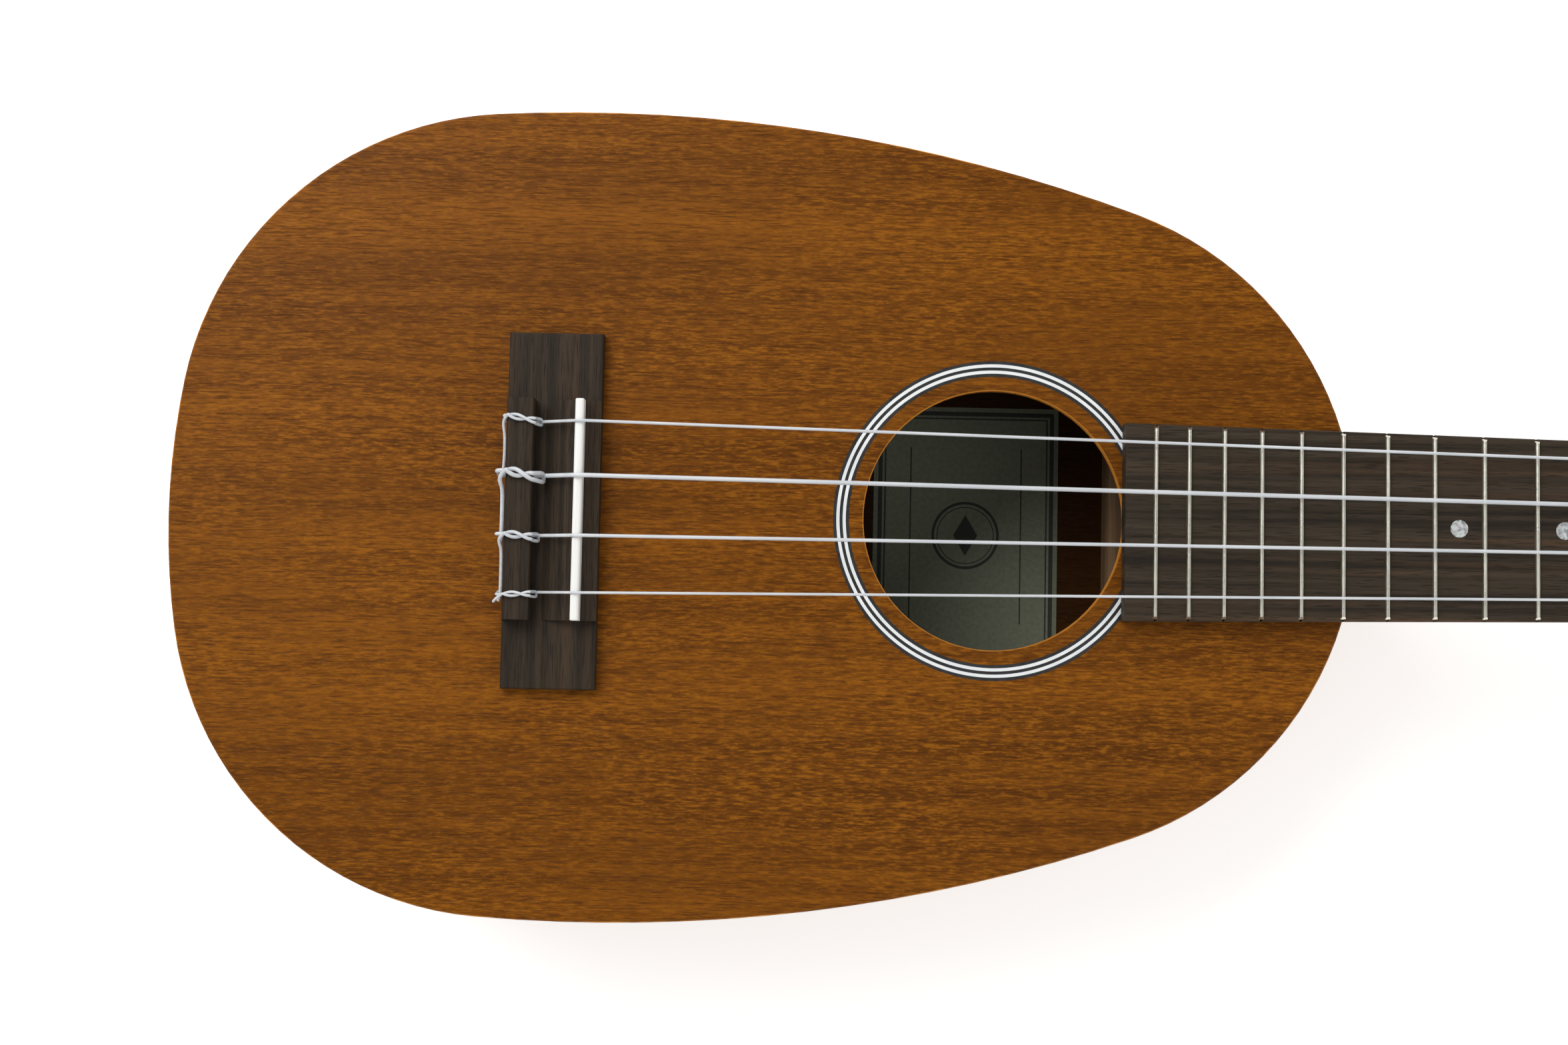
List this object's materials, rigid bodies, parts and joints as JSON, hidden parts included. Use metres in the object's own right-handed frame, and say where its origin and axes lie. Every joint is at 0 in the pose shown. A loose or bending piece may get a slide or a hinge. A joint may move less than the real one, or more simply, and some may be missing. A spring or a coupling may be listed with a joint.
{
  "type": "ukulele",
  "caption": "Concert ukulele with an egg-shaped flat body, ring rosette, tie-bar bridge, fretted neck and geared tuners that turn the string posts.",
  "frame": {"origin": "on the flat back, on the centreline, halfway along the body", "axes": "+X runs from the tail to the headstock, +Y towards the side of the first string (G), +Z out of the soundboard"},
  "size_m": [0.5953, 0.186, 0.0753],
  "materials": {
    "mahogany_top": "satin, fine pores along the length",
    "mahogany_body": "satin",
    "inner_wood": "raw sanded",
    "rosewood": "oiled",
    "ring_black": "satin",
    "ring_white": "satin",
    "paper": "matt",
    "bone": "polished",
    "nickel": "polished",
    "pearl": "pearly",
    "white_dot": "polished",
    "string": "clear, slightly milky",
    "chrome": "polished",
    "brass": "machined",
    "button_plastic": "polished"
  },
  "bodies": {
    "instrument": {"soundboard": "mahogany_top", "back": "mahogany_body", "side_bass": "mahogany_body", "side_treble": "mahogany_body", "tail_block": "inner_wood", "neck_block": "inner_wood", "top_linings": "inner_wood", "back_linings": "inner_wood", "upper_brace": "inner_wood", "lower_brace": "inner_wood", "fan_braces": "inner_wood", "bridge_plate": "inner_wood", "back_braces": "inner_wood", "rosette_black": "ring_black", "rosette_white": "ring_white", "label": "paper", "bridge": "rosewood", "saddle": "bone", "neck": "mahogany_body", "neck_dowels": "inner_wood", "headplate": "rosewood", "fretboard": "rosewood", "frets": "nickel", "nut": "bone", "fret_dots": "pearl", "side_dots": "white_dot", "ferrules": "chrome", "tuner_screws": "chrome", "string_g": "string", "tuner_plate_g": "chrome", "string_c": "string", "tuner_plate_c": "chrome", "string_e": "string", "tuner_plate_e": "chrome", "string_a": "string", "tuner_plate_a": "chrome"},
    "post_g": {"string_post_g": "chrome", "worm_gear_g": "brass", "gear_screw_g": "chrome", "string_winding_g": "string"},
    "button_g": {"worm_shaft_g": "chrome", "tuner_button_g": "button_plastic"},
    "post_c": {"string_post_c": "chrome", "worm_gear_c": "brass", "gear_screw_c": "chrome", "string_winding_c": "string"},
    "button_c": {"worm_shaft_c": "chrome", "tuner_button_c": "button_plastic"},
    "post_e": {"string_post_e": "chrome", "worm_gear_e": "brass", "gear_screw_e": "chrome", "string_winding_e": "string"},
    "button_e": {"worm_shaft_e": "chrome", "tuner_button_e": "button_plastic"},
    "post_a": {"string_post_a": "chrome", "worm_gear_a": "brass", "gear_screw_a": "chrome", "string_winding_a": "string"},
    "button_a": {"worm_shaft_a": "chrome", "tuner_button_a": "button_plastic"}
  },
  "joints": [
    {"name": "button_turn_g", "type": "hinge", "parent": "instrument", "child": "button_g", "pos_m": [0.38381, 0.0175, 0.04245], "axis": [0, 1, 0], "continuous": true},
    {"name": "post_turn_g", "type": "hinge", "parent": "instrument", "child": "post_g", "pos_m": [0.38106, 0.0175, 0.06123], "axis": [0.2079, 0, 0.9781], "continuous": true},
    {"name": "button_turn_c", "type": "hinge", "parent": "instrument", "child": "button_c", "pos_m": [0.42098, 0.0175, 0.03455], "axis": [0, 1, 0], "continuous": true},
    {"name": "post_turn_c", "type": "hinge", "parent": "instrument", "child": "post_c", "pos_m": [0.41823, 0.0175, 0.05333], "axis": [0.2079, 0, 0.9781], "continuous": true},
    {"name": "button_turn_e", "type": "hinge", "parent": "instrument", "child": "button_e", "pos_m": [0.42098, -0.0175, 0.03455], "axis": [0, -1, 0], "continuous": true},
    {"name": "post_turn_e", "type": "hinge", "parent": "instrument", "child": "post_e", "pos_m": [0.41823, -0.0175, 0.05333], "axis": [0.2079, 0, 0.9781], "continuous": true},
    {"name": "button_turn_a", "type": "hinge", "parent": "instrument", "child": "button_a", "pos_m": [0.38381, -0.0175, 0.04245], "axis": [0, -1, 0], "continuous": true},
    {"name": "post_turn_a", "type": "hinge", "parent": "instrument", "child": "post_a", "pos_m": [0.38106, -0.0175, 0.06123], "axis": [0.2079, 0, 0.9781], "continuous": true}
  ],
  "couplings": [
    {"joint": "post_turn_g", "follows": "button_turn_g", "ratio": -0.071429},
    {"joint": "post_turn_c", "follows": "button_turn_c", "ratio": -0.071429},
    {"joint": "post_turn_e", "follows": "button_turn_e", "ratio": -0.071429},
    {"joint": "post_turn_a", "follows": "button_turn_a", "ratio": -0.071429}
  ]
}
